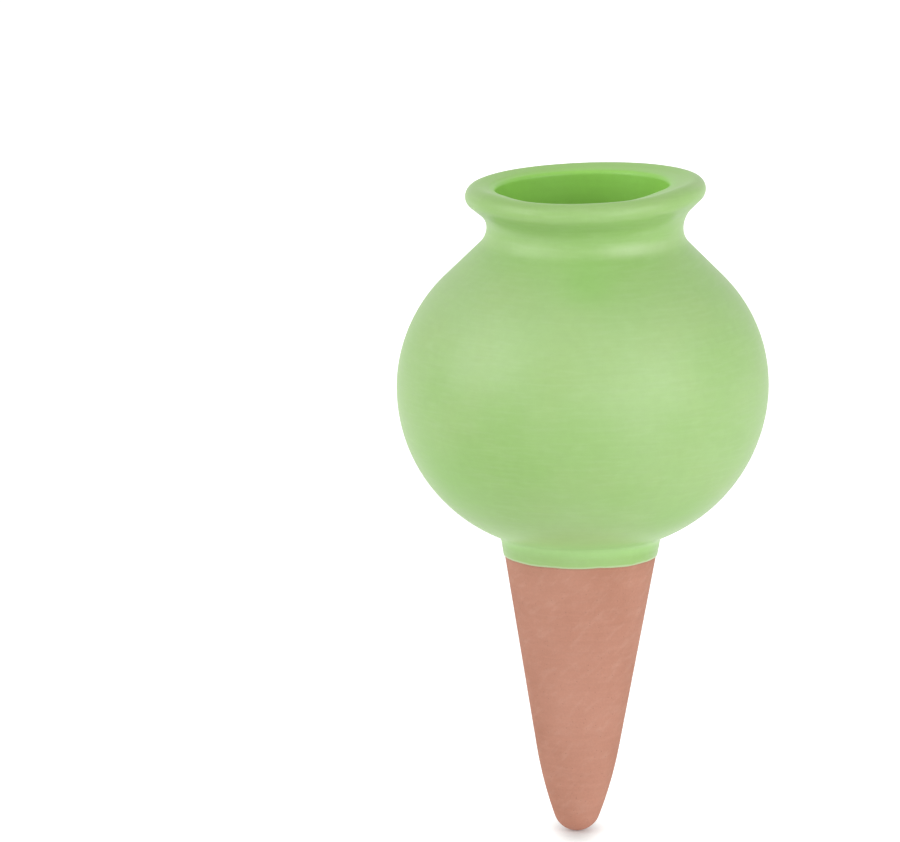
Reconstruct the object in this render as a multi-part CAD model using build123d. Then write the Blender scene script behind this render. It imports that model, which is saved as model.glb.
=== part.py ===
"""A self watering spike: a round ceramic vessel on a porous clay cone.

Water goes in at the open mouth and seeps out through the bare cone, which is pushed into the soil of
a pot up to the edge of the coat. The body is a thrown globe, a neck with a rolled lip and a hollow
cone, luted together with slip, and coated down to the soil line.

Millimetres, +Z up, origin on the axis at the soil line, where the coat ends. Every piece is a ring
turned about Z, so each is drawn as a section: X is the radius, Z is the height.
"""

import os
from math import acos, atan2, cos, degrees, radians, sin, sqrt, tan

from build123d import *

# Coated outside of the globe
globe_diameter = 100.0
upper_belly_arc = 40.8
lower_belly_arc = 43.8
shoulder_slope = 45.3

# Neck and rolled lip, with their coat
neck_diameter = 52.9
neck_wall = 3.15
waist_arc = 6.6
lip_overhang = 5.85
lip_flare = 48.1
lip_bead_arc = 3.05
lip_bevel = 14.0
mouth_edge_arc = 1.2

# Bare spike, and the coated collar and fillet between it and the globe
spike_top_diameter = 40.8
nose_start_diameter = 22.3
nose_start_depth = 52.7
nose_arc = 113.0
tip_arc = 6.4
collar_length = 3.9
foot_arc = 2.8

# Walls and coat
globe_wall = 4.0
spike_wall = 5.2
bore_end_arc = 3.4
coat_thickness = 0.3

# Luted joints
shoulder_spigot_wall = 3.6
shoulder_seat_width = 2.0
collar_spigot_wall = 2.7
collar_joint_height = 1.2
slip_thickness = 0.2


def on_circle(centre, radius, angle):
    """The place on a circle at an angle in degrees, counted from the outward direction."""
    return centre[0] + radius * cos(radians(angle)), centre[1] + radius * sin(radians(angle))


def in_section(place):
    """A radius and a height as a point of the section plane."""
    return place[0], 0, place[1]


def arc(centre, radius, start, end):
    """The arc of a circle from one angle to another."""
    angles = (start, (start + end) / 2, end)
    return ThreePointArc(*[in_section(on_circle(centre, radius, angle)) for angle in angles])


def line(*places):
    """Straight edges from place to place."""
    return Polyline(*[in_section(place) for place in places])


def filled(*curves):
    """The section that the curves close round."""
    return Sketch() + make_face([edge for curve in curves for edge in curve.edges()])


def block(radii, heights):
    """A rectangle of the section plane, between two radii and two heights."""
    corners = [(radii[0], heights[0]), (radii[1], heights[0]), (radii[1], heights[1]), (radii[0], heights[1])]
    return filled(line(*corners, corners[0]))


# The spike's side is straight from the soil line to the start of the nose.
spike_top_radius = spike_top_diameter / 2
nose_start = (nose_start_diameter / 2, -nose_start_depth)
taper = degrees(atan2(spike_top_radius - nose_start[0], nose_start_depth))

# The nose curves on into a round tip, which is centred on the axis.
nose_centre = on_circle(nose_start, -nose_arc, -taper)
tip_centre = (0, nose_centre[1] - sqrt((nose_arc - tip_arc) ** 2 - nose_centre[0] ** 2))
tip_angle = degrees(atan2(tip_centre[1] - nose_centre[1], -nose_centre[0]))
tip_depth = tip_arc - tip_centre[1]

# The collar carries on the line of the spike, and the foot fillet turns it out to the lower belly.
outward = on_circle((0, 0), 1, -taper)
fillet_start = (
    spike_top_radius + (coat_thickness + foot_arc) * outward[0],
    (coat_thickness + foot_arc) * outward[1],
)
foot_centre = on_circle(fillet_start, collar_length, 90 - taper)

# Belly of the globe: two arcs that meet upright at its widest line.
lower_belly_radius = globe_diameter / 2 - lower_belly_arc
belly_reach = lower_belly_arc + foot_arc
globe_centre_height = foot_centre[1] + sqrt(belly_reach**2 - (foot_centre[0] - lower_belly_radius) ** 2)
upper_belly_centre = (globe_diameter / 2 - upper_belly_arc, globe_centre_height)
lower_belly_centre = (lower_belly_radius, globe_centre_height)
belly_end = degrees(atan2(foot_centre[1] - globe_centre_height, foot_centre[0] - lower_belly_radius))

# A straight shoulder leaves the belly and runs into the waist of the neck.
shoulder_foot = on_circle(upper_belly_centre, upper_belly_arc, shoulder_slope)


def shoulder_height(radius, depth):
    """How high the straight shoulder is at a radius, on a face at this depth under the coat."""
    rise = (shoulder_foot[0] - radius) / tan(radians(shoulder_slope))
    return shoulder_foot[1] + rise - depth / sin(radians(shoulder_slope))


neck_radius = neck_diameter / 2
waist_radius = neck_radius + waist_arc
waist_end = waist_radius - waist_arc * cos(radians(shoulder_slope))
waist_rise = waist_arc * sin(radians(shoulder_slope))
waist_centre = (waist_radius, shoulder_height(waist_end, 0) + waist_rise)

# Over the waist the underside of the lip flares out to the bead.
underside_foot = on_circle(waist_centre, waist_arc, 180 - lip_flare)
bead_radius = neck_radius + lip_overhang - lip_bead_arc
underside_width = bead_radius + lip_bead_arc * cos(radians(lip_flare)) - underside_foot[0]
underside_top = underside_foot[1] + underside_width / tan(radians(lip_flare))
bead_centre = (bead_radius, underside_top + lip_bead_arc * sin(radians(lip_flare)))

# The bead falls inwards on a bevel and turns down into the throat.
bevel_angle = 90 + lip_bevel
throat_radius = neck_radius - neck_wall
edge_radius = throat_radius + mouth_edge_arc
bevel_drop = (bead_radius - edge_radius) * tan(radians(lip_bevel))
bevel_gain = (lip_bead_arc - mouth_edge_arc) / cos(radians(lip_bevel))
edge_centre = (edge_radius, bead_centre[1] - bevel_drop + bevel_gain)

# The throat is straight down to where it opens into the globe.
hollow_depth = coat_thickness + globe_wall
neck_bore_radius = throat_radius + coat_thickness
throat_foot = shoulder_height(neck_bore_radius, hollow_depth)


def collar_radius(height, depth):
    """The radius of the collar at a height, on a face at this depth under the coat."""
    return spike_top_radius + (coat_thickness - depth + height * sin(radians(taper))) / cos(radians(taper))


# The outside is made of arcs and lines that run smoothly into each other. A face that lies deeper
# keeps their centres and angles, and only the radii of its arcs change.
def outside(depth):
    """The coated face from the foot of the throat to the soil line, at this depth under the coat."""
    throat = throat_radius + depth
    mouth = on_circle(edge_centre, mouth_edge_arc - depth, bevel_angle)
    bead_in = on_circle(bead_centre, lip_bead_arc - depth, bevel_angle)
    bead_out = on_circle(bead_centre, lip_bead_arc - depth, -lip_flare)
    waist_top = on_circle(waist_centre, waist_arc + depth, 180 - lip_flare)
    waist_foot = on_circle(waist_centre, waist_arc + depth, 180 + shoulder_slope)
    belly_top = on_circle(upper_belly_centre, upper_belly_arc - depth, shoulder_slope)
    collar_top = on_circle(foot_centre, foot_arc + depth, 180 - taper)
    return [
        line((throat, throat_foot), (throat, edge_centre[1])),
        arc(edge_centre, mouth_edge_arc - depth, 180, bevel_angle),
        line(mouth, bead_in),
        arc(bead_centre, lip_bead_arc - depth, bevel_angle, -lip_flare),
        line(bead_out, waist_top),
        arc(waist_centre, waist_arc + depth, 180 - lip_flare, 180 + shoulder_slope),
        line(waist_foot, belly_top),
        arc(upper_belly_centre, upper_belly_arc - depth, shoulder_slope, 0),
        arc(lower_belly_centre, lower_belly_arc - depth, 0, belly_end),
        arc(foot_centre, foot_arc + depth, 180 + belly_end, 180 - taper),
        line(collar_top, (collar_radius(0, depth), 0)),
    ]


# Hollow of the globe, and of the spike below it
hollow_belly = lower_belly_arc - hollow_depth
hollow_floor_angle = -degrees(acos(-lower_belly_centre[0] / hollow_belly))
hollow_floor = on_circle(lower_belly_centre, hollow_belly, hollow_floor_angle)
hollow_shoulder = on_circle(upper_belly_centre, upper_belly_arc - hollow_depth, shoulder_slope)
globe_hollow = filled(
    line(hollow_shoulder, (neck_bore_radius, throat_foot)),
    arc(upper_belly_centre, upper_belly_arc - hollow_depth, shoulder_slope, 0),
    arc(lower_belly_centre, hollow_belly, 0, hollow_floor_angle),
    line((neck_bore_radius, throat_foot), (0, throat_foot), hollow_floor),
)

spike_bore_radius = spike_top_radius - spike_wall / cos(radians(taper))
bore_end_depth = (spike_bore_radius - bore_end_arc / cos(radians(taper))) / tan(radians(taper))
bore_end = (0, -bore_end_depth)
spike_bore = filled(
    line(
        (0, -bore_end_depth - bore_end_arc),
        (0, globe_centre_height),
        (spike_bore_radius, globe_centre_height),
        (spike_bore_radius, 0),
        on_circle(bore_end, bore_end_arc, -taper),
    ),
    arc(bore_end, bore_end_arc, -taper, -90),
)

# The whole wall of clay, before the joints are cut through it
clay = filled(
    line((0, -tip_depth), (0, throat_foot), (neck_bore_radius, throat_foot)),
    *outside(coat_thickness),
    line((spike_top_radius, 0), nose_start),
    arc(nose_centre, nose_arc, -taper, tip_angle),
    arc(tip_centre, tip_arc, tip_angle, -90),
) - [globe_hollow, spike_bore]

# Each joint is a flat seat round a spigot, with the slip between both faces. The neck stands on the
# rim of the globe's opening, and the spike's spigot rises inside the collar.
beyond = globe_diameter
shoulder_bore_radius = neck_bore_radius + shoulder_spigot_wall
seat_height = shoulder_height(shoulder_bore_radius + shoulder_seat_width, coat_thickness)
collar_bore_radius = spike_bore_radius + collar_spigot_wall


def above_joint(gap):
    """What lies over the shoulder joint, with its faces moved off the globe by the gap."""
    spigot = block((0, shoulder_bore_radius - gap), (globe_centre_height, beyond))
    return block((0, beyond), (seat_height + gap, 2 * beyond)) + spigot


def below_joint(gap):
    """What lies under the collar joint, with its faces moved off the globe by the gap."""
    spigot = block((0, collar_bore_radius - gap), (-beyond, globe_centre_height))
    return block((0, beyond), (-2 * beyond, collar_joint_height - gap)) + spigot


sections = {
    "globe_shell": clay - above_joint(0) - below_joint(0),
    "neck_and_lip": clay & above_joint(slip_thickness),
    "spike_cone": clay & below_joint(slip_thickness),
    "neck_slip_seam": clay & (above_joint(0) - above_joint(slip_thickness)),
    "spike_slip_seam": clay & (below_joint(0) - below_joint(slip_thickness)),
    "green_coat": filled(
        *outside(0),
        *outside(coat_thickness),
        line((throat_radius, throat_foot), (neck_bore_radius, throat_foot)),
        line((collar_radius(0, 0), 0), (spike_top_radius, 0)),
    ),
}

os.makedirs("parts", exist_ok=True)
for node, section in sections.items():
    export_step(revolve(section, Axis.Z), f"parts/{node}.step")

water = revolve(globe_hollow, Axis.Z).volume + revolve(spike_bore, Axis.Z).volume
print(f"lip top {bead_centre[1] + lip_bead_arc:.2f}, tip {-tip_depth:.2f}")
print(f"globe centre {globe_centre_height:.2f}, foot of the throat {throat_foot:.2f}")
print(f"coated collar diameter at the soil line {2 * collar_radius(0, 0):.2f}")
print(f"water below the neck about {water / CM**3:.0f} ml")
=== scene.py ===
"""A self watering spike: a round clay vessel with a brushed green coat on a hollow bare spike.

Every piece is a ring about one axis, so each is drawn as a section and turned by one node tree. The
tree also gives all the pieces the drift of hand work, so that they stay together: the lean of the
axis, the tilt and dip of the rolled lip, the uneven belly and the turning lines.

Metres, +Z up, origin on the axis at the soil line, where the coat ends.
"""

import logging
from collections.abc import Callable, Mapping
from dataclasses import asdict, dataclass, field
from enum import Enum
from functools import cached_property
from math import acos, atan2, ceil, copysign, cos, degrees, dist, inf, pi, radians, sin, sqrt, tan, tau
from typing import Any, ClassVar

import bmesh
import bpy
from mathutils import Euler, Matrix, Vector

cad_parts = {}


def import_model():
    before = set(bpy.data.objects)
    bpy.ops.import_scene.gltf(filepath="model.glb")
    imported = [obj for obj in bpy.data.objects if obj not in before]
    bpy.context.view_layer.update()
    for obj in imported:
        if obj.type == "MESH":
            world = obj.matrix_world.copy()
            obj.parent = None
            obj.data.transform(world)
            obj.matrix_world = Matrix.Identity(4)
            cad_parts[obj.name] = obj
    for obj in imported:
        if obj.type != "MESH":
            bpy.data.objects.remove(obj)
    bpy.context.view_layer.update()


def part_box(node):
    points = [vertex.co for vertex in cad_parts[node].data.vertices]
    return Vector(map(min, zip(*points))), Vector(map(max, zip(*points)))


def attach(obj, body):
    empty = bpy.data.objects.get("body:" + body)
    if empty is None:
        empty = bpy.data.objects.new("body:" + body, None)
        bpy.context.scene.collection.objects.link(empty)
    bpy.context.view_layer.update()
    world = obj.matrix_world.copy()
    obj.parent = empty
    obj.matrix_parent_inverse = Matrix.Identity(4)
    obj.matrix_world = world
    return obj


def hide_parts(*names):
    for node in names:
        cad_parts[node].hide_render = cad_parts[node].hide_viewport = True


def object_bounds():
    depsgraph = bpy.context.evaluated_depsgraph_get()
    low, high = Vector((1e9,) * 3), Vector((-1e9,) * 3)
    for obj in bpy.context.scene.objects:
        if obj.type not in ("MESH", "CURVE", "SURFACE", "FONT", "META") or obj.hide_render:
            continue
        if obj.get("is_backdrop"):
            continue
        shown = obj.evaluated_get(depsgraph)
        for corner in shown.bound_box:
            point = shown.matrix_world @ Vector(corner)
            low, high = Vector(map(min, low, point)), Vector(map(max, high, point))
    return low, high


MM = 0.001
ROOT_BODY = "root"

Place = tuple[float, float]
Span = tuple[float, float]
Triple = tuple[float, float, float]
Colour = tuple[float, float, float]
Name = str | int
Settings = Mapping[str, Any] | None
Inputs = Mapping[Name, Any] | None

WHITE: Colour = (1.0, 1.0, 1.0)

log = logging.getLogger("watering_spike")


def on_circle(centre: Place, radius: float, angle: float) -> Place:
    """The place on a circle of the section, at an angle in degrees from the outward direction."""
    turn = radians(angle)
    return centre[0] + radius * cos(turn), centre[1] + radius * sin(turn)


class Tree:
    """A node tree that is written as calls."""

    def __init__(self, tree: bpy.types.NodeTree) -> None:
        """Keeps the tree that the nodes go into."""
        self.tree = tree

    @staticmethod
    def socket(sockets: Any, name: Name) -> bpy.types.NodeSocket:
        """Finds a socket.

        Args:
            sockets: The inputs or the outputs of a node.
            name: Its place among them, its identifier, or the name of one in use.

        Returns:
            The socket.
        """
        if isinstance(name, int):
            return sockets[name]
        same = [found for found in sockets if found.identifier == name]
        return (same or [found for found in sockets if found.name == name and found.enabled])[0]

    def node(self, kind: str, settings: Settings = None, inputs: Inputs = None) -> bpy.types.Node:
        """Adds a node.

        Args:
            kind: The node's type.
            settings: Its own settings, which are set first.
            inputs: Values or links for its sockets.

        Returns:
            The node.
        """
        node = self.tree.nodes.new(kind)
        for name, setting in (settings or {}).items():
            setattr(node, name, setting)
        for name, value in (inputs or {}).items():
            socket = self.socket(node.inputs, name)
            if isinstance(value, Value):
                self.tree.links.new(value.socket, socket)
            elif isinstance(value, tuple) and socket.type == "RGBA":
                socket.default_value = (*value, 1.0)
            else:
                socket.default_value = value
        return node

    def value(
        self, kind: str, settings: Settings = None, inputs: Inputs = None, output: Name = 0
    ) -> "Value":
        """Adds a node and takes one of its outputs, for use in expressions."""
        return Value(self, self.socket(self.node(kind, settings, inputs).outputs, output))

    def vector(self, x: "Number", y: "Number", z: "Number") -> "Value":
        """Makes a vector of three numbers."""
        return self.value("ShaderNodeCombineXYZ", inputs={"X": x, "Y": y, "Z": z})

    def parts(self, vector: "Value") -> tuple["Value", "Value", "Value"]:
        """Takes a vector apart into its three numbers."""
        node = self.node("ShaderNodeSeparateXYZ", inputs={"Vector": vector})
        return tuple(Value(self, node.outputs[name]) for name in ("X", "Y", "Z"))

    def vectors(self, operation: str, *inputs: Any, output: Name = 0) -> "Value":
        """Adds the Vector Math node that works on the inputs."""
        settings = {"operation": operation}
        return self.value("ShaderNodeVectorMath", settings, dict(enumerate(inputs)), output)

    def scaled(self, vector: "Value", factor: "Number") -> "Value":
        """Multiplies a vector or colour by a number."""
        return self.value("ShaderNodeVectorMath", {"operation": "SCALE"}, {0: vector, "Scale": factor})

    def mixed(self, factor: "Number", first: "Colours", second: "Colours") -> "Value":
        """Mixes two colours by the share of the second."""
        inputs = {"Factor_Float": factor, "A_Color": first, "B_Color": second}
        return self.value("ShaderNodeMix", {"data_type": "RGBA"}, inputs, "Result_Color")


def worked(operation: str) -> Callable[..., "Value"]:
    """Makes the method that adds the Math node of an operation.

    Args:
        operation: The node's operation.

    Returns:
        The method, which takes the other numbers of the operation.
    """

    def method(self: "Value", *others: "Number") -> "Value":
        """Adds the node and takes its result."""
        numbers = dict(enumerate((self, *others)))
        return self.tree.value("ShaderNodeMath", {"operation": operation}, numbers)

    return method


@dataclass(frozen=True)
class Value:
    """An output of a node, which Python's operators work on."""

    tree: Tree
    socket: bpy.types.NodeSocket

    __add__ = __radd__ = worked("ADD")
    __sub__ = worked("SUBTRACT")
    __mul__ = __rmul__ = worked("MULTIPLY")
    __truediv__ = worked("DIVIDE")
    cosine = worked("COSINE")
    sine = worked("SINE")
    floor = worked("FLOOR")
    larger = worked("MAXIMUM")
    smaller = worked("MINIMUM")

    def __rsub__(self, other: "Number") -> "Value":
        """Takes this away from a number."""
        return self.tree.value("ShaderNodeMath", {"operation": "SUBTRACT"}, {0: other, 1: self})

    def swing(self) -> "Value":
        """Turns noise between 0 and 1 into a swing about 0."""
        return self * 2.0 - 1.0

    def step(self, low: "Number", high: "Number") -> "Value":
        """Rises from 0 at one number to 1 at another, easing in and out."""
        inputs = {"Value": self, "From Min": low, "From Max": high}
        return self.tree.value("ShaderNodeMapRange", {"interpolation_type": "SMOOTHSTEP"}, inputs)

    def band(self, rise: Span, fall: Span) -> "Value":
        """Is 1 from the end of a rise to the start of a fall, and 0 beyond both."""
        return self.step(*rise) * (1.0 - self.step(*fall))


Number = Value | float
Colours = Value | Colour


def mixture(start: float, shares: tuple[float, ...], fields: tuple[Value, ...]) -> Value:
    """Adds shares of fields to a number."""
    return sum((share * one for share, one in zip(shares, fields)), start=start)


@dataclass(frozen=True)
class Grain:
    """A field of smooth noise between about 0 and 1.

    It has so many features in a metre and octaves of finer noise. Its seed picks it among fields of
    the same kind, a stretch makes it finer along some axes, and a rise turns it into patches.
    """

    scale: float = 1.0
    detail: float = 2.0
    seed: float = 0.0
    stretch: Triple | None = None
    rise: Span | None = None

    def on(self, tree: Tree, place: Value, seed: Number = 0.0) -> Value:
        """Adds the noise.

        Args:
            tree: The tree that it goes into.
            place: Where it is read.
            seed: What is added to its own seed.

        Returns:
            The noise.
        """
        vector = tree.vectors("MULTIPLY", place, self.stretch) if self.stretch else place
        inputs = {"Vector": vector, "W": seed + self.seed, "Scale": self.scale, "Detail": self.detail}
        noise = tree.value("ShaderNodeTexNoise", {"noise_dimensions": "4D"}, inputs)
        return noise.step(*self.rise) if self.rise else noise


def added(name: str, data: bpy.types.ID) -> bpy.types.Object:
    """Adds an object to the scene.

    Args:
        name: Name of the object.
        data: Its mesh, lamp or camera.

    Returns:
        The object.
    """
    thing = bpy.data.objects.new(name, data)
    bpy.context.scene.collection.objects.link(thing)
    return thing


class Skin(Enum):
    """How finely a skin of the clay is divided along its section, in metres."""

    SHOWN = 0.62 * MM
    INSIDE = 0.9 * MM
    HIDDEN = 2.5 * MM


@dataclass(frozen=True)
class Line:
    """A straight stretch of a section."""

    start: Place
    end: Place

    turn: ClassVar[float] = 0.0

    @property
    def length(self) -> float:
        """Its length in metres."""
        return dist(self.start, self.end)

    def at(self, share: float) -> Place:
        """Finds the place at a share of its length."""
        return tuple(a + (b - a) * share for a, b in zip(self.start, self.end))

    def back(self) -> "Line":
        """The same stretch from its end to its start."""
        return Line(self.end, self.start)


@dataclass(frozen=True)
class Arc:
    """A stretch of a section along a circle, between two angles in degrees."""

    centre: Place
    radius: float
    first: float
    last: float

    @property
    def turn(self) -> float:
        """How far it turns, in degrees."""
        return abs(self.last - self.first)

    @property
    def length(self) -> float:
        """Its length in metres."""
        return self.radius * radians(self.turn)

    def at(self, share: float) -> Place:
        """Finds the place at a share of its length."""
        return on_circle(self.centre, self.radius, self.first + (self.last - self.first) * share)

    def back(self) -> "Arc":
        """The same stretch from its end to its start."""
        return Arc(self.centre, self.radius, self.last, self.first)

    def under(self, depth: float) -> "Arc":
        """The same stretch at a depth under the face that it runs down."""
        radius = self.radius + copysign(depth, self.last - self.first)
        return Arc(self.centre, radius, self.first, self.last)


Stretch = Line | Arc


def path(*places: Place) -> list[Line]:
    """Joins places by straight stretches."""
    return [Line(start, end) for start, end in zip(places, places[1:])]


def backwards(stretches: list[Stretch]) -> list[Stretch]:
    """The same stretches from the last to the first."""
    return [stretch.back() for stretch in reversed(stretches)]


@dataclass
class Section:
    """The outline of a ring on one side of its axis, as points with what the tree reads at each."""

    finest_turn: ClassVar[float] = 8.0
    same_place: ClassVar[float] = 0.1e-6

    points: list[Place] = field(default_factory=list)
    shown: list[float] = field(default_factory=list)
    run: list[float] = field(default_factory=list)

    def follow(self, skin: Skin, stretches: list[Stretch]) -> "Section":
        """Adds stretches to the outline.

        Args:
            skin: How finely they are divided.
            stretches: The stretches, end to end.

        Returns:
            This section.
        """
        for stretch in stretches:
            steps = ceil(max(stretch.length / skin.value, stretch.turn / self.finest_turn))
            for step in range(steps + 1):
                self._add(stretch.at(step / steps), float(skin is Skin.SHOWN))
        return self

    def _add(self, place: Place, shown: float) -> None:
        """Adds a point, unless the outline is there already.

        Args:
            place: Radius and height of the point.
            shown: 1 on a skin that shows.
        """
        gap = dist(self.points[-1], place) if self.points else inf
        if gap > self.same_place:
            self.points.append(place)
            self.shown.append(shown)
            self.run.append(self.run[-1] + gap if self.run else 0.0)

    def mesh(self, name: str) -> bpy.types.Mesh:
        """Makes the mesh that the tree reads.

        Args:
            name: Name of the piece.

        Returns:
            The outline's points, with their attributes.
        """
        mesh = bpy.data.meshes.new(f"{name}_section")
        mesh.from_pydata([(radius, 0.0, height) for radius, height in self.points], [], [])
        for attribute, values in (("shown", self.shown), ("run", self.run)):
            mesh.attributes.new(attribute, "FLOAT", "POINT").data.foreach_set("value", values)
        return mesh


@dataclass(frozen=True)
class Outside:
    """The outside of the clay or of its coat, from the foot of the throat to the soil line."""

    neck: list[Stretch]
    shoulder: Line
    globe: list[Stretch]
    collar: Line

    @property
    def whole(self) -> list[Stretch]:
        """All its stretches in order."""
        return [*self.neck, self.shoulder, *self.globe, self.collar]


@dataclass(frozen=True)
class VesselSizes:
    """Sizes of the fired vessel in metres and degrees, and the places in its section.

    The sizes that have no default are read from the frame.
    """

    globe_radius: float
    lip_radius: float
    coat: float
    slip: float
    collar_joint: float

    upper_belly_arc: float = 40.8 * MM
    lower_belly_arc: float = 43.8 * MM
    shoulder_slope: float = 45.3
    neck_radius: float = 26.45 * MM
    neck_wall: float = 3.15 * MM
    waist_arc: float = 6.6 * MM
    lip_flare: float = 48.1
    bead_arc: float = 3.05 * MM
    lip_bevel: float = 14.0
    mouth_arc: float = 1.2 * MM
    spike_radius: float = 20.4 * MM
    nose_start: Place = (11.15 * MM, -52.7 * MM)
    nose_arc: float = 113.0 * MM
    tip_arc: float = 6.4 * MM
    collar_length: float = 3.9 * MM
    foot_arc: float = 2.8 * MM
    globe_wall: float = 4.0 * MM
    spike_wall: float = 5.2 * MM
    bore_end_arc: float = 3.4 * MM
    shoulder_spigot_wall: float = 3.6 * MM
    seat_width: float = 2.0 * MM
    collar_spigot_wall: float = 2.7 * MM

    @classmethod
    def from_frame(cls) -> "VesselSizes":
        """Reads the sizes that the frame's boxes give.

        Returns:
            The sizes.
        """
        coat_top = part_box("green_coat")[1]
        globe_foot, globe_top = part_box("globe_shell")
        coat = coat_top.x - globe_top.x
        return cls(
            globe_radius=coat_top.x,
            lip_radius=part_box("neck_and_lip")[1].x + coat,
            coat=coat,
            slip=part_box("neck_slip_seam")[1].z - globe_top.z,
            collar_joint=globe_foot.z,
        )

    @cached_property
    def taper(self) -> float:
        """Slope of the spike's side, in degrees from upright."""
        return degrees(atan2(self.spike_radius - self.nose_start[0], -self.nose_start[1]))

    @cached_property
    def nose(self) -> tuple[Arc, Arc]:
        """The arc that curves the side in, and the round tip on the axis that it runs into."""
        centre = on_circle(self.nose_start, -self.nose_arc, -self.taper)
        drop = sqrt((self.nose_arc - self.tip_arc) ** 2 - centre[0] ** 2)
        angle = degrees(atan2(-drop, -centre[0]))
        tip = Arc((0.0, centre[1] - drop), self.tip_arc, angle, -90)
        return Arc(centre, self.nose_arc, -self.taper, angle), tip

    @cached_property
    def belly(self) -> tuple[Arc, Arc, Arc]:
        """The arcs of the coat's face on the globe: the upper and lower belly, and the foot."""
        start = on_circle((self.spike_radius, 0.0), self.coat + self.foot_arc, -self.taper)
        foot = on_circle(start, self.collar_length, 90 - self.taper)
        radius, reach = self.globe_radius - self.lower_belly_arc, self.lower_belly_arc + self.foot_arc
        height = foot[1] + sqrt(reach**2 - (foot[0] - radius) ** 2)
        end = degrees(atan2(foot[1] - height, foot[0] - radius))
        upper = (self.globe_radius - self.upper_belly_arc, height)
        return (
            Arc(upper, self.upper_belly_arc, self.shoulder_slope, 0),
            Arc((radius, height), self.lower_belly_arc, 0, end),
            Arc(foot, self.foot_arc, 180 + end, 180 - self.taper),
        )

    @cached_property
    def lip(self) -> tuple[Arc, Arc, Arc]:
        """The arcs of the coat's face on the neck: the mouth's edge, the bead and the waist."""
        flare, slope, bevel = self.lip_flare, self.shoulder_slope, self.lip_bevel
        radius = self.neck_radius + self.waist_arc
        across, rise = on_circle((0.0, 0.0), self.waist_arc, slope)
        centre = (radius, self.shoulder_height(radius - across, 0.0) + rise)
        waist = Arc(centre, self.waist_arc, 180 - flare, 180 + slope)
        radius = self.lip_radius - self.bead_arc
        foot = waist.at(0)
        across, rise = on_circle((0.0, 0.0), self.bead_arc, flare)
        height = foot[1] + (radius + across - foot[0]) / tan(radians(flare)) + rise
        bead = Arc((radius, height), self.bead_arc, 90 + bevel, -flare)
        edge = self.throat_radius + self.mouth_arc
        drop = (radius - edge) * tan(radians(bevel))
        gain = (self.bead_arc - self.mouth_arc) / cos(radians(bevel))
        return Arc((edge, height - drop + gain), self.mouth_arc, 180, 90 + bevel), bead, waist

    @cached_property
    def throat_radius(self) -> float:
        """Radius of the coated throat."""
        return self.neck_radius - self.neck_wall

    @cached_property
    def throat_foot(self) -> float:
        """Height at which the throat opens into the globe."""
        return self.hollow_roof(self.throat_radius + self.coat)[1]

    @cached_property
    def hollow_depth(self) -> float:
        """How deep the globe's hollow lies under the coat's face."""
        return self.coat + self.globe_wall

    @cached_property
    def spike_bore(self) -> float:
        """Radius of the spike's bore at the soil line and up through its spigot."""
        return self.spike_radius - self.spike_wall / cos(radians(self.taper))

    @cached_property
    def bore_end(self) -> Arc:
        """The round end of the spike's bore."""
        taper = radians(self.taper)
        depth = (self.spike_bore - self.bore_end_arc / cos(taper)) / tan(taper)
        return Arc((0.0, -depth), self.bore_end_arc, -self.taper, -90)

    @cached_property
    def shoulder_bore(self) -> float:
        """Radius of the opening in the globe that the neck's spigot sits in."""
        return self.throat_radius + self.coat + self.shoulder_spigot_wall

    @cached_property
    def seat(self) -> float:
        """Height of the rim that the neck stands on."""
        return self.shoulder_height(self.shoulder_bore + self.seat_width, self.coat)

    @cached_property
    def collar_bore(self) -> float:
        """Radius of the collar's bore, which the spike's spigot sits in."""
        return self.spike_bore + self.collar_spigot_wall

    def shoulder_height(self, radius: float, depth: float) -> float:
        """How high the straight shoulder is at a radius, at a depth under the coat's face."""
        foot, slope = self.belly[0].at(0), radians(self.shoulder_slope)
        return foot[1] + (foot[0] - radius) / tan(slope) - depth / sin(slope)

    def collar_at(self, height: float, depth: float) -> Place:
        """The place on the collar at a height, at a depth under the coat's face."""
        taper = radians(self.taper)
        return self.spike_radius + (self.coat - depth + height * sin(taper)) / cos(taper), height

    def seat_rim(self, gap: float) -> Place:
        """The outer edge of the seat, or of the face of the slip at a gap over it."""
        fall = gap * tan(radians(self.shoulder_slope))
        return self.shoulder_bore + self.seat_width - fall, self.seat + gap

    def hollow_roof(self, radius: float) -> Place:
        """The place on the shoulder of the globe's hollow at a radius."""
        return radius, self.shoulder_height(radius, self.hollow_depth)

    def hollow_floor(self, start: float, end: float = inf) -> Arc:
        """Draws the floor of the globe's hollow.

        Args:
            start: Radius at which it starts.
            end: Radius at which it ends, unless that is past the hollow's widest line.

        Returns:
            The stretch from its start to its end.
        """
        arc = self.belly[1].under(self.hollow_depth)
        shares = [min((radius - arc.centre[0]) / arc.radius, 1.0) for radius in (start, end)]
        return Arc(arc.centre, arc.radius, *(-degrees(acos(share)) for share in shares))

    def outside(self, depth: float, end: Place) -> Outside:
        """Draws the outside of the vessel at a depth under the coat's face.

        Args:
            depth: How deep the drawn face lies, along its own normal.
            end: Where the collar ends.

        Returns:
            The stretches, from the foot of the throat down to the end.
        """
        mouth, bead, waist = (arc.under(depth) for arc in self.lip)
        upper, lower, foot = (arc.under(depth) for arc in self.belly)
        throat = Line((self.throat_radius + depth, self.throat_foot), mouth.at(0))
        top, underside = Line(mouth.at(1), bead.at(0)), Line(bead.at(1), waist.at(0))
        return Outside(
            neck=[throat, mouth, top, bead, underside, waist],
            shoulder=Line(waist.at(1), upper.at(0)),
            globe=[upper, lower, foot],
            collar=Line(foot.at(1), end),
        )


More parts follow.
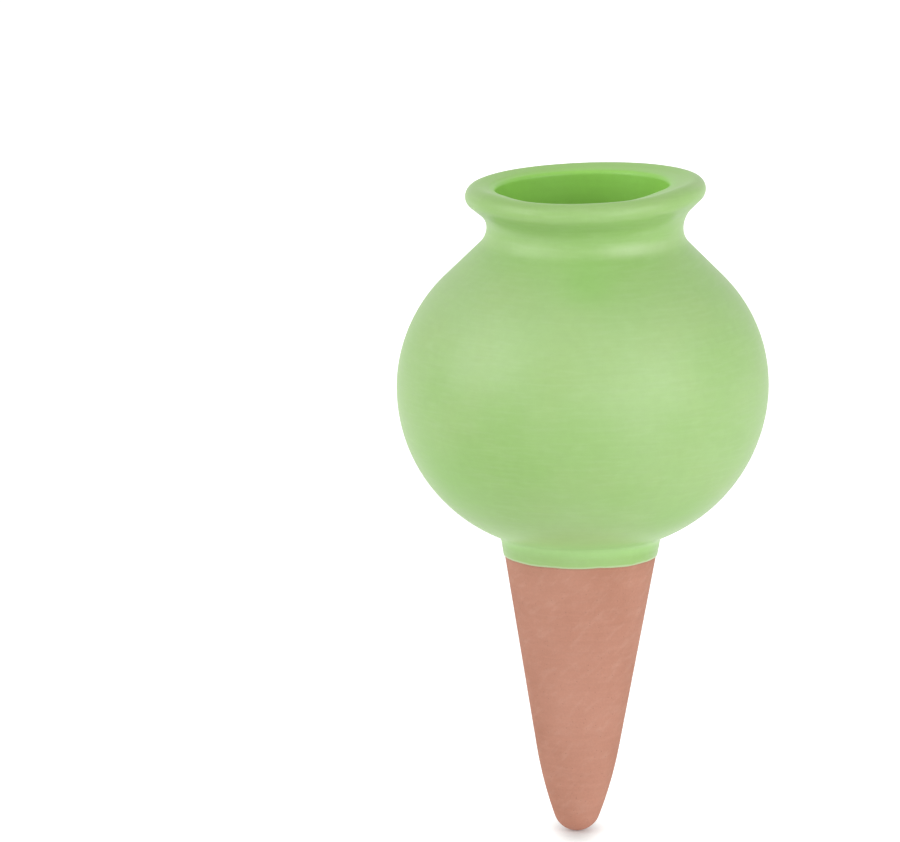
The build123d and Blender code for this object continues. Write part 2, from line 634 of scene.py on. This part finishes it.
@dataclass(frozen=True)
class HandWork:
    """How far the vessel drifts from a true ring, in metres and in metres a metre."""

    lean: float = 0.0113
    lip_tilt: float = 0.035
    lip_nod: float = -0.005
    lip_dip: float = 1.1 * MM
    lip_foot: float = 88.0 * MM
    lip_top: float = 97.0 * MM
    lip_wobble: float = 0.1 * MM
    mouth_shift: float = -0.9 * MM
    belly_wobble: float = 0.25 * MM
    seed: int = 11


@dataclass(frozen=True)
class Turning:
    """What one piece keeps of its own making, as inputs of the tree."""

    segments: int = 256
    line_depth: float = 0.02 * MM
    line_pitch: float = 2.4 * MM
    edge_wave: float = 0.0


class ThrowingTree:
    """The node tree that turns a section into a ring and drifts it as hand work does."""

    numbers: ClassVar[str] = (
        "Lean, Lip Tilt, Lip Nod, Lip Dip, Lip Foot, Lip Top, Lip Wobble, Mouth Shift, Mouth Radius, "
        "Neck Radius, Throat Foot, Belly Height, Belly Wobble, Line Depth, Line Pitch, Edge Wave"
    )
    inputs: ClassVar[dict[str, str]] = {
        "Section": "NodeSocketGeometry",
        **dict.fromkeys(("Rows", "Segments", "Seed"), "NodeSocketInt"),
        **dict.fromkeys(numbers.split(", "), "NodeSocketFloat"),
        "Material": "NodeSocketMaterial",
    }
    pole_ease: ClassVar[float] = 4.0 * MM
    edge_reach: ClassVar[float] = 2.5 * MM
    throat_ease: ClassVar[float] = 6.0 * MM
    dip_edge: ClassVar[float] = 0.45
    merge_distance: ClassVar[float] = 1e-6
    line_spread: ClassVar[float] = 9.0
    lip_rises: ClassVar[Grain] = Grain(1.1, 1.0)
    lip_widens: ClassVar[Grain] = Grain(1.3, 1.0, 5.0)
    belly_swells: ClassVar[Grain] = Grain(22.0, 1.0, 9.0)
    lines_run: ClassVar[Grain] = Grain(1.0, 2.0, 3.0)
    edge_waves: ClassVar[Grain] = Grain(2.3, 2.0, 7.0)

    def __init__(self, hand: HandWork, sizes: VesselSizes) -> None:
        """Builds the tree.

        Args:
            hand: The drift that all the pieces share.
            sizes: The vessel's sizes.
        """
        self.hand = hand
        self.sizes = sizes
        self.group = bpy.data.node_groups.new("thrown_ring", "GeometryNodeTree")
        for name, kind in self.inputs.items():
            self.group.interface.new_socket(name=name, in_out="INPUT", socket_type=kind)
        self.group.interface.new_socket(name="Ring", in_out="OUTPUT", socket_type="NodeSocketGeometry")
        self._build(Tree(self.group))

    def _build(self, tree: Tree) -> None:
        """Adds the nodes, from the section's points to the finished ring.

        Args:
            tree: The tree that they go into.
        """
        source = tree.node("NodeGroupInput")
        size = {name: Value(tree, source.outputs[name]) for name in self.inputs}
        counts = {"Vertices X": size["Segments"] + 1, "Vertices Y": size["Rows"]}
        grid = tree.value("GeometryNodeMeshGrid", inputs=counts, output="Mesh")
        index = tree.value("GeometryNodeInputIndex")
        # The half keeps the first row of a column clear of rounding.
        column = ((index + 0.5) / size["Rows"]).floor()
        row = index - column * size["Rows"]

        def sampled(kind: str, what: Value) -> Value:
            """Reads the section at the row of the grid."""
            inputs = {"Geometry": size["Section"], "Value": what, "Index": row}
            return tree.value("GeometryNodeSampleIndex", {"data_type": kind, "domain": "POINT"}, inputs)

        place = tree.value("GeometryNodeInputPosition")
        radius, _, height = tree.parts(sampled("FLOAT_VECTOR", place))
        number = {"data_type": "FLOAT"}
        shown, run = (
            sampled("FLOAT", tree.value("GeometryNodeInputNamedAttribute", number, {"Name": name}))
            for name in ("shown", "run")
        )
        angle = column / size["Segments"] * tau
        facing = (angle.cosine(), angle.sine())
        drifted = self._drifted(tree, size, (radius, height), facing, shown)
        ring = grid
        for kind, settings, inputs in (
            ("GeometryNodeSetPosition", {}, {"Position": drifted}),
            ("GeometryNodeStoreNamedAttribute", number, {"Name": "run", "Value": run}),
            ("GeometryNodeMergeByDistance", {}, {"Distance": self.merge_distance}),
            ("GeometryNodeSetShadeSmooth", {}, {}),
            ("GeometryNodeRealizeInstances", {}, {}),
            ("GeometryNodeSetMaterial", {}, {"Material": size["Material"]}),
        ):
            ring = tree.value(kind, settings, {"Geometry": ring, **inputs})
        tree.node("NodeGroupOutput", inputs={0: ring})

    def _drifted(
        self,
        tree: Tree,
        size: dict[str, Value],
        section: tuple[Value, Value],
        facing: tuple[Value, Value],
        shown: Value,
    ) -> Value:
        """Works out where the hand puts a point of the true ring.

        Args:
            tree: The tree that the nodes go into.
            size: The tree's named inputs.
            section: Radius and height of the point.
            facing: Cosine and sine of its angle about the axis.
            shown: 1 on a skin that shows, where the turning lines are.

        Returns:
            The drifted place.
        """
        radius, height = section
        across, along = facing
        x, y = radius * across, radius * along
        around = tree.vector(across, along, 0.0)

        def swing(grain: Grain, place: Value) -> Value:
            """Reads a field of this vessel's noise as a swing about 0."""
            return grain.on(tree, place, size["Seed"]).swing()

        on_lip = height.step(size["Lip Foot"], size["Lip Top"])
        at_front = (0.0 - along).step(self.dip_edge, 1.0)
        lip_lean = size["Lip Tilt"] * x + size["Lip Nod"] * y
        wobble = size["Lip Wobble"]
        lip_rise = lip_lean + wobble * swing(self.lip_rises, around) - size["Lip Dip"] * at_front
        lip_spread = wobble * swing(self.lip_widens, around)
        in_throat = 1.0 - radius.step(size["Mouth Radius"], size["Neck Radius"])
        over_globe = height.step(size["Throat Foot"] - self.throat_ease, size["Throat Foot"])
        shift = size["Mouth Shift"] * in_throat * over_globe
        on_belly = height.step(0.0, size["Belly Height"])
        belly = size["Belly Wobble"] * on_belly * swing(self.belly_swells, tree.vector(x, y, height))
        line_place = tree.vector(x * self.line_spread, y * self.line_spread, height / size["Line Pitch"])
        lines = size["Line Depth"] * shown * swing(self.lines_run, line_place)
        off_pole = (radius / self.pole_ease).smaller(1.0)
        out = radius + off_pole * (belly + lines + on_lip * lip_spread)
        lean = size["Lean"] * (height - size["Belly Height"])
        near_edge = 1.0 - height.step(0.0, self.edge_reach)
        wave = size["Edge Wave"] * near_edge * swing(self.edge_waves, around)
        return tree.vector(out * across + lean + shift, out * along, height + on_lip * lip_rise + wave)

    def turn(
        self,
        slot: str,
        turning: Turning,
        material: bpy.types.Material,
        *pieces: tuple[str, str, Section],
    ) -> None:
        """Turns sections into the pieces that stand for solids.

        Args:
            slot: The record's material slot; not used.
            turning: What the pieces keep of their own making.
            material: Their finish.
            pieces: Name of each piece, name of its solid and its outline.
        """
        fields = {**asdict(self.hand), **asdict(turning)}
        values = {
            **{name.replace("_", " ").title(): value for name, value in fields.items()},
            "Mouth Radius": self.sizes.lip[0].centre[0],
            "Neck Radius": self.sizes.neck_radius,
            "Throat Foot": self.sizes.throat_foot,
            "Belly Height": self.sizes.belly[0].centre[1],
            "Material": material,
        }
        for name, solid, section in pieces:
            values["Rows"] = len(section.points)
            piece = added(name, section.mesh(name))
            modifier = piece.modifiers.new("thrown", "NODES")
            modifier.node_group = self.group
            for socket in self.group.interface.items_tree:
                if socket.name in values:
                    modifier[socket.identifier] = values[socket.name]
            self._baked(piece, material)
            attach(piece, ROOT_BODY)
            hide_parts(solid)
            log.info("%s: %d faces", name, len(piece.data.polygons))

    @staticmethod
    def _baked(piece: bpy.types.Object, material: bpy.types.Material) -> None:
        """Puts the tree's result into the piece as a plain mesh, with its faces outwards.

        Args:
            piece: The piece, whose only modifier is the tree.
            material: The one finish of its mesh.
        """
        outline = piece.data
        depsgraph = bpy.context.evaluated_depsgraph_get()
        mesh = bpy.data.meshes.new_from_object(piece.evaluated_get(depsgraph))
        piece.modifiers.clear()
        piece.data = mesh
        mesh.name = piece.name
        bpy.data.meshes.remove(outline)
        mesh.materials.clear()
        mesh.materials.append(material)
        mesh.polygons.foreach_set("material_index", [0] * len(mesh.polygons))
        faces = bmesh.new()
        faces.from_mesh(mesh)
        bmesh.ops.recalc_face_normals(faces, faces=faces.faces)
        faces.to_mesh(mesh)
        faces.free()


def shaded(name: str) -> tuple[bpy.types.Material, Tree, Value]:
    """Makes an empty material.

    Args:
        name: Name of the material.

    Returns:
        The material, its tree and the piece's own coordinates.
    """
    material = bpy.data.materials.new(name)
    material.use_nodes = True
    material.node_tree.nodes.clear()
    tree = Tree(material.node_tree)
    return material, tree, tree.value("ShaderNodeTexCoord", output="Object")


def surfaced(
    tree: Tree, colour: Value, roughness: Value, relief: tuple[Value, float], specular: float
) -> None:
    """Ends a material in its surface.

    Args:
        tree: The material's tree.
        colour: Base colour.
        roughness: Roughness.
        relief: Height of the relief between about 0 and 1, and how high 1 is, in metres.
        specular: Specular level.
    """
    height, distance = relief
    bump = tree.value("ShaderNodeBump", inputs={"Height": height, "Distance": distance})
    shine = {"Roughness": roughness, "Specular IOR Level": specular}
    inputs = {"Base Color": colour, "Normal": bump, **shine}
    surface = tree.value("ShaderNodeBsdfPrincipled", inputs=inputs)
    tree.node("ShaderNodeOutputMaterial", inputs={"Surface": surface})


@dataclass(frozen=True)
class ShadeSpot:
    """A soft round patch of painted shade, a deeper green where the light is least."""

    centre: Triple
    reach: float
    share: float


@dataclass(frozen=True)
class CoatFinish:
    """Matte green coat, brushed round the turning vessel.

    Its spans are metres: of run from the soil line at the crease, of run from the mouth's edge on the
    lip and in the throat, and of height and of distance across at the waist.
    """

    # Tones of the noise patches. The patches vary at random, but their seeds set the deep patches where
    # shade falls and the light ones under the highlights, so they are partly painted shade and painted
    # light.
    light: Colour = (0.380, 0.584, 0.234)
    deep: Colour = (0.310, 0.536, 0.158)
    warm: Colour = (0.372, 0.552, 0.205)
    warm_share: float = 0.4
    broad: Grain = Grain(18.0, seed=180.0, rise=(0.36, 0.64))
    broad_share: float = 0.65
    lesser: Grain = Grain(27.0, seed=395.0, rise=(0.36, 0.64))
    drifts: Grain = Grain(60.0, seed=144.0, rise=(0.45, 0.75))
    brush: Grain = Grain(detail=3.0, seed=3.0, stretch=(22.0, 22.0, 800.0))
    strokes: Grain = Grain(seed=6.0, stretch=(150.0, 150.0, 1250.0), rise=(0.42, 0.72))
    chalk: Colour = (0.50, 0.665, 0.36)
    chalk_share: float = 0.11
    fleck: Grain = Grain(420.0, 3.0, 5.0)
    grain: Grain = Grain(2600.0, seed=4.0)
    level_shares: Triple = (0.03, 0.05, 0.03)
    relief_shares: Triple = (0.5, 0.3, 0.2)
    # Painted shade: a deeper green laid in soft round patches where the light is least.
    thick: Colour = (0.283, 0.545, 0.135)
    spots: tuple[ShadeSpot, ...] = (
        ShadeSpot((1.0 * MM, -32.5 * MM, 80.0 * MM), 12.0 * MM, 0.65),
        ShadeSpot((-36.0 * MM, -26.0 * MM, 24.0 * MM), 21.0 * MM, 0.6),
        ShadeSpot((26.0 * MM, -27.0 * MM, 15.0 * MM), 17.0 * MM, 0.45),
    )
    # Painted light: a lighter, brighter green in the crease over the collar, where shade falls.
    crease: Colour = (0.460, 0.770, 0.290)
    crease_share: float = 0.5
    crease_rise: Span = (2.0 * MM, 5.0 * MM)
    crease_fall: Span = (7.0 * MM, 23.0 * MM)
    # Painted highlight: a lighter band round the foot of the neck, stronger towards the right, where a
    # lamp's highlight falls on the waist.
    pale: Colour = (0.500, 0.660, 0.350)
    pale_share: float = 0.16
    paler_share: float = 0.32
    waist_rise: Span = (84.6 * MM, 87.2 * MM)
    waist_fall: Span = (87.6 * MM, 90.2 * MM)
    paler_rise: Span = (2.0 * MM, 13.0 * MM)
    paler_fall: Span = (18.0 * MM, 26.0 * MM)
    # Painted shade: a deeper, more saturated green over the top of the lip, which faces up, away from
    # the lamps.
    lip: Colour = (0.350, 0.640, 0.155)
    lip_rise: Span = (-9.5 * MM, -5.5 * MM)
    # Painted light: a brighter, more saturated green inside the throat, standing in for light bounced
    # from wall to wall.
    throat: Colour = (0.345, 0.745, 0.125)
    throat_rise: Span = (-4.5 * MM, 0.8 * MM)
    # Painted highlight: a light line along the coat's lower edge, where the edge catches light.
    rim: Colour = (0.54, 0.64, 0.38)
    rim_share: float = 0.75
    rim_width: float = 0.8 * MM
    rim_wander: float = 0.32 * MM
    roughness: float = 0.39
    roughness_shares: Triple = (0.05, 0.06, 0.04)
    specular: float = 0.4
    brush_height: float = 0.02 * MM

    def material(self, mouth: float) -> bpy.types.Material:
        """Builds the material.

        Args:
            mouth: How far the skin runs from the soil line to the mouth's edge, in metres.

        Returns:
            The material.
        """
        material, tree, place = shaded("brushed_green")
        run = tree.value("ShaderNodeAttribute", {"attribute_name": "run"}, output="Fac")
        noises = (self.brush, self.fleck, self.grain, self.broad, self.lesser)
        brush, fleck, grain, broad, lesser = (noise.on(tree, place) for noise in noises)
        patches = self.broad_share * broad + (1.0 - self.broad_share) * lesser
        colour = self._brushed(tree, place, patches)
        across, _, height = tree.parts(place)
        # Painted highlight at the waist, stronger on the right.
        waist_highlight_here = self.pale_share + self.paler_share * across.band(self.paler_rise, self.paler_fall)
        # Painted highlight along the coat's lower edge.
        edge = 1.0 - (run + self.rim_wander * fleck.swing()).step(self.rim_width / 2, self.rim_width)
        for share, tint in (
            # Painted light in the crease.
            (run.band(self.crease_rise, self.crease_fall) * self.crease_share, self.crease),
            # Painted highlight round the foot of the neck.
            (height.band(self.waist_rise, self.waist_fall) * waist_highlight_here, self.pale),
            # Painted shade over the top of the lip.
            (run.step(*(mouth + over for over in self.lip_rise)), self.lip),
            # Painted bounced light in the throat.
            (run.step(*(mouth + over for over in self.throat_rise)), self.throat),
            (edge * self.rim_share, self.rim),
        ):
            colour = tree.mixed(share, colour, tint)
        swings = (brush.swing(), fleck.swing(), grain.swing())
        streaked = tree.scaled(colour, mixture(1.0, self.level_shares, swings))
        roughness = mixture(self.roughness, self.roughness_shares, (patches.swing(), *swings[:2]))
        relief = mixture(0.0, self.relief_shares, (brush, fleck, grain))
        surfaced(tree, streaked, roughness, (relief, self.brush_height), self.specular)
        return material

    def _brushed(self, tree: Tree, place: Value, patches: Value) -> Value:
        """Mixes the colour of the plain skin.

        Args:
            tree: The material's tree.
            place: The piece's own coordinates.
            patches: 1 where the coat is light; partly painted light, as the deep patches lie where shade
                falls.

        Returns:
            The colour, with its patches, strokes and round patches of painted shade.
        """
        colour = tree.mixed(patches, self.deep, self.light)
        colour = tree.mixed(self.drifts.on(tree, place) * self.warm_share, colour, self.warm)
        colour = tree.mixed(self.strokes.on(tree, place) * self.chalk_share, colour, self.chalk)
        # Round patches of painted shade.
        for shade_spot in self.spots:
            away = tree.vectors("DISTANCE", place, shade_spot.centre, output="Value")
            colour = tree.mixed((1.0 - away.step(0.0, shade_spot.reach)) * shade_spot.share, colour, self.thick)
        return colour


@dataclass(frozen=True)
class ClayFinish:
    """Bare fired clay, turned smooth, darker in a thin band along the coat's edge."""

    name: str = "bare_terracotta"
    light: Colour = (0.562, 0.274, 0.198)
    deep: Colour = (0.484, 0.222, 0.152)
    patches: Grain = Grain(45.0, 4.0, 1.0, rise=(0.3, 0.7))
    dust: Colour = (0.660, 0.400, 0.315)
    slant: Triple = (0.0, 0.75, 0.0)
    scrapes: Grain = Grain(detail=3.0, seed=7.0, stretch=(210.0, 210.0, 640.0))
    scrape_rise: Span = (0.48, 0.72)
    scrape_share: float = 0.17
    smears: Grain = Grain(seed=9.0, stretch=(200.0, 200.0, 900.0), rise=(0.45, 0.72))
    smear_share: float = 0.08
    lines: Grain = Grain(detail=3.0, seed=2.0, stretch=(40.0, 40.0, 1100.0))
    grain: Grain = Grain(1800.0, 3.0, 3.0)
    level_shares: Span = (0.05, 0.08)
    pit: Colour = (0.36, 0.17, 0.12)
    pit_share: float = 0.5
    pits_each_metre: float = 700.0
    pit_fall: Span = (0.05, 0.16)
    stain: Colour = (0.36, 0.20, 0.12)
    stain_share: float = 0.3
    stain_width: float = 0.8 * MM
    relief_shares: tuple[float, ...] = (0.35, 0.5, 0.3, -0.6)
    grain_height: float = 0.06 * MM
    roughness: float = 0.88
    roughness_share: float = 0.06
    specular: float = 0.3

    def material(self) -> bpy.types.Material:
        """Builds the material.

        Returns:
            The material.
        """
        material, tree, place = shaded(self.name)
        noises = (self.patches, self.lines, self.smears, self.grain)
        patches, lines, smears, grain = (noise.on(tree, place) for noise in noises)
        slanted = tree.value("ShaderNodeMapping", inputs={"Vector": place, "Rotation": self.slant})
        scrapes = self.scrapes.on(tree, slanted)
        dusty = self.scrape_share * scrapes.step(*self.scrape_rise) + self.smear_share * smears
        colour = tree.mixed(dusty, tree.mixed(patches, self.deep, self.light), self.dust)
        colour = tree.scaled(colour, mixture(1.0, self.level_shares, (lines.swing(), grain.swing())))
        spacing = {"Vector": place, "Scale": self.pits_each_metre}
        cells = tree.value("ShaderNodeTexVoronoi", inputs=spacing, output="Distance")
        pits = 1.0 - cells.step(*self.pit_fall)
        colour = tree.mixed(pits * self.pit_share, colour, self.pit)
        # Darker in a thin band round the soil line, along the coat's edge.
        under_coat = tree.parts(place)[2].band((-self.stain_width, 0.0), (0.0, self.stain_width))
        colour = tree.mixed(under_coat * self.stain_share, colour, self.stain)
        relief = mixture(0.0, self.relief_shares, (lines, grain, scrapes, pits))
        roughness = self.roughness + self.roughness_share * grain.swing()
        surfaced(tree, colour, roughness, (relief, self.grain_height), self.specular)
        return material


@dataclass(frozen=True)
class GreenCoat:
    """The coat, one skin from inside the throat over the lip and down to the soil line."""

    sizes: VesselSizes
    finish: CoatFinish = CoatFinish()
    turning: Turning = Turning(edge_wave=0.35 * MM)
    edge_arc: float = 0.18 * MM

    def section(self) -> tuple[Section, float]:
        """Draws the skin, from the soil line up to the throat and back under it.

        Returns:
            The section, and how far it runs from the soil line to the mouth's edge.
        """
        sizes = self.sizes
        rim = Arc(sizes.collar_at(self.edge_arc, self.edge_arc), self.edge_arc, -sizes.taper, -90)
        throat, *over = sizes.outside(0.0, rim.at(0)).whole
        hidden = sizes.outside(sizes.coat, (sizes.spike_radius, 0.0)).whole
        section = Section().follow(Skin.SHOWN, [rim.back(), *backwards(over)])
        mouth = section.run[-1]
        section.follow(Skin.SHOWN, [throat.back()])
        section.follow(Skin.HIDDEN, path(throat.start, hidden[0].start))
        return section.follow(Skin.HIDDEN, [*hidden, *path(hidden[-1].end, rim.at(1))]), mouth

    def build(self, wheel: ThrowingTree) -> None:
        """Turns and dresses the coat.

        Args:
            wheel: The tree that turns it.
        """
        section, mouth = self.section()
        coat = ("brushed_coat", "green_coat", section)
        wheel.turn("green_coat", self.turning, self.finish.material(mouth), coat)


@dataclass(frozen=True)
class ClayBody:
    """The globe and the neck, which the coat hides on the outside."""

    sizes: VesselSizes
    finish: ClayFinish = ClayFinish(name="fired_body")
    turning: Turning = Turning(segments=192, line_depth=0.06 * MM, line_pitch=4.0 * MM)

    def globe(self) -> Section:
        """Draws the globe, from its rim down the outside and back up the hollow.

        Returns:
            The section.
        """
        sizes = self.sizes
        rim, foot = sizes.seat_rim(0.0), sizes.collar_at(sizes.collar_joint, sizes.coat)
        outside = sizes.outside(sizes.coat, foot)
        down = [Line(rim, outside.shoulder.end), *outside.globe, outside.collar]
        floor = sizes.hollow_floor(sizes.collar_bore)
        upper = sizes.belly[0].under(sizes.hollow_depth).back()
        bore = sizes.hollow_roof(sizes.shoulder_bore)
        across = path(foot, (sizes.collar_bore, sizes.collar_joint), floor.at(0))
        section = Section().follow(Skin.HIDDEN, [*down, *across])
        section.follow(Skin.INSIDE, [floor, upper, Line(upper.at(1), bore)])
        return section.follow(Skin.HIDDEN, path(bore, (sizes.shoulder_bore, sizes.seat), rim))

    def neck(self) -> Section:
        """Draws the neck, from the seat up over the lip and down the throat to the spigot.

        Returns:
            The section.
        """
        sizes = self.sizes
        outside = sizes.outside(sizes.coat, (sizes.spike_radius, 0.0))
        rim, spigot = sizes.seat_rim(sizes.slip), sizes.shoulder_bore - sizes.slip
        up = [Line(rim, outside.shoulder.start), *backwards(outside.neck)]
        back = path(outside.neck[0].start, sizes.hollow_roof(spigot), (spigot, rim[1]), rim)
        return Section().follow(Skin.INSIDE, [*up, *back])

    def build(self, wheel: ThrowingTree) -> None:
        """Turns and dresses both pieces.

        Args:
            wheel: The tree that turns them.
        """
        globe = ("thrown_globe", "globe_shell", self.globe())
        neck = ("rolled_neck", "neck_and_lip", self.neck())
        wheel.turn("clay_body", self.turning, self.finish.material(), globe, neck)


@dataclass(frozen=True)
class Spike:
    """The bare hollow cone that stands in the soil."""

    sizes: VesselSizes
    finish: ClayFinish = ClayFinish()
    turning: Turning = Turning(line_depth=0.035 * MM, line_pitch=2.2 * MM)

    def section(self) -> Section:
        """Draws the cone, from the tip up the outside and back down the bore.

        Returns:
            The section.
        """
        sizes = self.sizes
        joint, spigot = sizes.collar_joint - sizes.slip, sizes.collar_bore - sizes.slip
        collar = sizes.collar_at(joint, sizes.coat)
        side = path(collar, (sizes.spike_radius, 0.0), sizes.nose_start)
        floor, end = sizes.hollow_floor(spigot, sizes.spike_bore), sizes.bore_end
        bore = path(floor.at(1), (sizes.spike_bore, 0.0), end.at(0))
        section = Section().follow(Skin.SHOWN, backwards([*side, *sizes.nose]))
        section.follow(Skin.HIDDEN, path(collar, (spigot, joint), floor.at(0)))
        return section.follow(Skin.INSIDE, [floor, *bore, end])

    def build(self, wheel: ThrowingTree) -> None:
        """Turns and dresses the cone."""
        cone = ("bare_spike", "spike_cone", self.section())
        wheel.turn("bare_clay", self.turning, self.finish.material(), cone)


@dataclass(frozen=True)
class SlipSeams:
    """The slip that lutes the neck and the spike to the globe."""

    sizes: VesselSizes
    finish: ClayFinish = ClayFinish(
        name="fired_slip", light=(0.50, 0.245, 0.17), deep=(0.44, 0.21, 0.145)
    )
    turning: Turning = Turning(segments=192, line_depth=0.0)

    def shoulder(self) -> Section:
        """Draws the seam between the neck and the globe.

        Returns:
            The section.
        """
        sizes = self.sizes
        bore, spigot = sizes.shoulder_bore, sizes.shoulder_bore - sizes.slip
        start, top = (bore, sizes.seat), (spigot, sizes.seat + sizes.slip)
        feet = [sizes.hollow_roof(bore), sizes.hollow_roof(spigot)]
        rims = [sizes.seat_rim(sizes.slip), sizes.seat_rim(0.0)]
        return Section().follow(Skin.HIDDEN, path(start, *feet, top, *rims, start))

    def collar(self) -> Section:
        """Draws the seam between the spike and the globe.

        Returns:
            The section.
        """
        sizes = self.sizes
        start = (sizes.collar_bore, sizes.collar_joint)
        spigot, low = (size - sizes.slip for size in start)
        faces = [sizes.collar_at(height, sizes.coat) for height in (sizes.collar_joint, low)]
        floor = [sizes.hollow_floor(radius).at(0) for radius in (spigot, sizes.collar_bore)]
        return Section().follow(Skin.HIDDEN, path(start, *faces, (spigot, low), *floor, start))

    def build(self, wheel: ThrowingTree) -> None:
        """Turns and dresses both seams.

        Args:
            wheel: The tree that turns them.
        """
        shoulder = ("shoulder_slip", "neck_slip_seam", self.shoulder())
        collar = ("collar_slip", "spike_slip_seam", self.collar())
        wheel.turn("clay_slip", self.turning, self.finish.material(), shoulder, collar)


@dataclass(frozen=True)
class SoftBox:
    """A square lamp that faces the globe, placed by its bearing from the camera's side."""

    name: str
    bearing: float
    elevation: float
    side: float
    radiance: float
    distance: float = 1.1
    reflected: bool = True

    def build(self, target: Vector) -> None:
        """Hangs the lamp.

        Args:
            target: What it faces.
        """
        data = bpy.data.lights.new(self.name, "AREA")
        data.shape = "SQUARE"
        data.size = self.side
        data.energy = self.radiance * pi * self.side**2
        lamp = added(self.name, data)
        bearing, elevation = radians(self.bearing), radians(self.elevation)
        toward = Vector((sin(bearing), -cos(bearing), tan(elevation))).normalized()
        lamp.location = target + toward * self.distance
        lamp.rotation_euler = toward.to_track_quat("Z", "Y").to_euler()
        lamp.visible_camera = False
        lamp.visible_glossy = self.reflected


@dataclass(frozen=True)
class Studio:
    """White floor, white surroundings and soft boxes.

    The floor's own light washes out shadows, so it fades near the tip and leaves a painted shadow there,
    over the faint real one. The faded patch is longer towards the camera than across, so that it looks
    round from there.
    """

    tip: Vector
    target: Vector
    floor_side: float = 12.0
    floor_grey: float = 0.8
    floor_glow: float = 0.23
    floor_white: float = 2.5
    floor_share: float = 0.75
    contact: Span = (0.3 * MM, 10.0 * MM)
    contact_shape: Triple = (1.0, 0.35, 1.0)
    ambient: float = 0.43
    lamps: tuple[SoftBox, ...] = (
        SoftBox("right_soft_box", bearing=47.0, elevation=13.0, side=0.95, radiance=2.6),
        SoftBox("left_soft_box", bearing=-70.0, elevation=26.0, side=0.90, radiance=2.3),
        SoftBox("back_fill_box", bearing=178.0, elevation=0.0, side=0.80, radiance=1.0, reflected=False),
    )

    @staticmethod
    def _seen(tree: Tree) -> Value:
        """Finds the rays that see the background, straight or in a reflection.

        Args:
            tree: The tree that the nodes go into.

        Returns:
            1 for those rays.
        """
        rays = tree.node("ShaderNodeLightPath")
        names = ("Is Camera Ray", "Is Glossy Ray", "Is Transmission Ray")
        camera, glossy, through = (Value(tree, rays.outputs[name]) for name in names)
        return camera.larger(glossy).larger(through)

    def _floor(self) -> None:
        """Lays the floor that the tip stands on."""
        half = self.floor_side / 2
        mesh = bpy.data.meshes.new("floor")
        corners = [(x * half, y * half, self.tip.z) for x, y in ((-1, -1), (1, -1), (1, 1), (-1, 1))]
        mesh.from_pydata(corners, [], [(0, 1, 2, 3)])
        floor = added("floor", mesh)
        material, tree, place = shaded("white_floor")
        grey = (self.floor_grey,) * 3
        paper = tree.value("ShaderNodeBsdfDiffuse", inputs={"Color": grey})
        faint = tree.value("ShaderNodeEmission", inputs={"Color": WHITE, "Strength": self.floor_glow})
        lit = tree.value("ShaderNodeAddShader", inputs={0: paper, 1: faint})
        # Painted shadow: the floor's white fades with distance from the tip.
        from_tip = tree.vectors("SUBTRACT", place, tuple(self.tip))
        shaped = tree.vectors("MULTIPLY", from_tip, self.contact_shape)
        away = tree.vectors("LENGTH", shaped, output="Value")
        strength = self.floor_white * away.step(*self.contact)
        glow = tree.value("ShaderNodeEmission", inputs={"Color": WHITE, "Strength": strength})
        share = self._seen(tree) * (1.0 - self.floor_share)
        white = tree.value("ShaderNodeMixShader", inputs={0: share, 1: lit, 2: glow})
        behind = tree.value("ShaderNodeNewGeometry", output="Backfacing")
        clear = tree.value("ShaderNodeBsdfTransparent")
        shader = tree.value("ShaderNodeMixShader", inputs={0: behind, 1: white, 2: clear})
        tree.node("ShaderNodeOutputMaterial", inputs={"Surface": shader})
        mesh.materials.append(material)
        floor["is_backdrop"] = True

    def _world(self) -> None:
        """Surrounds the floor with white that lights it evenly."""
        world = bpy.data.worlds.new("white_surroundings")
        world.use_nodes = True
        world.node_tree.nodes.clear()
        tree = Tree(world.node_tree)
        strength = self.ambient + (1.0 - self.ambient) * self._seen(tree)
        white = tree.value("ShaderNodeBackground", inputs={"Color": WHITE, "Strength": strength})
        tree.node("ShaderNodeOutputWorld", inputs={"Surface": white})
        bpy.context.scene.world = world

    def build(self) -> None:
        """Sets up the floor, the surroundings and the lamps."""
        self._floor()
        self._world()
        for lamp in self.lamps:
            lamp.build(self.target)


@dataclass(frozen=True)
class PhotoCamera:
    """The photograph's camera: far off and a little above, with the globe right of the middle."""

    frame: tuple[int, int] = (900, 842)
    globe_pixel: tuple[float, float] = (582.7, 385.0)
    elevation: float = 11.0
    distance: float = 4.0
    lens: float = 595.3
    sensor: float = 36.0
    farthest: float = 40.0

    def build(self, target: Vector) -> None:
        """Places the camera.

        Args:
            target: Centre of the globe.
        """
        data = bpy.data.cameras.new("photo_camera")
        data.lens = self.lens
        data.sensor_width = self.sensor
        data.clip_end = self.farthest
        camera = added("photo_camera", data)
        turn = Euler((radians(90 - self.elevation), 0.0, 0.0))
        pixel = self.distance * self.sensor / self.lens / self.frame[0]
        right = (self.frame[0] / 2 - self.globe_pixel[0]) * pixel
        up = (self.globe_pixel[1] - self.frame[1] / 2) * pixel
        camera.rotation_euler = turn
        camera.location = target + turn.to_matrix() @ Vector((right, up, self.distance))
        bpy.context.scene.camera = camera


def main() -> None:
    """Builds the object and its studio."""
    logging.basicConfig(level=logging.INFO, format="%(name)s: %(message)s")
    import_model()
    sizes = VesselSizes.from_frame()
    globe_centre = Vector((0.0, 0.0, sizes.belly[0].centre[1]))
    hand = HandWork()
    wheel = ThrowingTree(hand, sizes)
    ClayBody(sizes).build(wheel)
    SlipSeams(sizes).build(wheel)
    Spike(sizes).build(wheel)
    GreenCoat(sizes).build(wheel)
    shown_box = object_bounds()
    floor = shown_box[0].z
    tip = Vector((hand.lean * (floor - globe_centre.z), 0.0, floor))
    Studio(tip=tip, target=globe_centre).build()
    PhotoCamera().build(globe_centre)
    bpy.context.scene.view_settings.view_transform = "Standard"


if __name__ == "__main__":
    main()
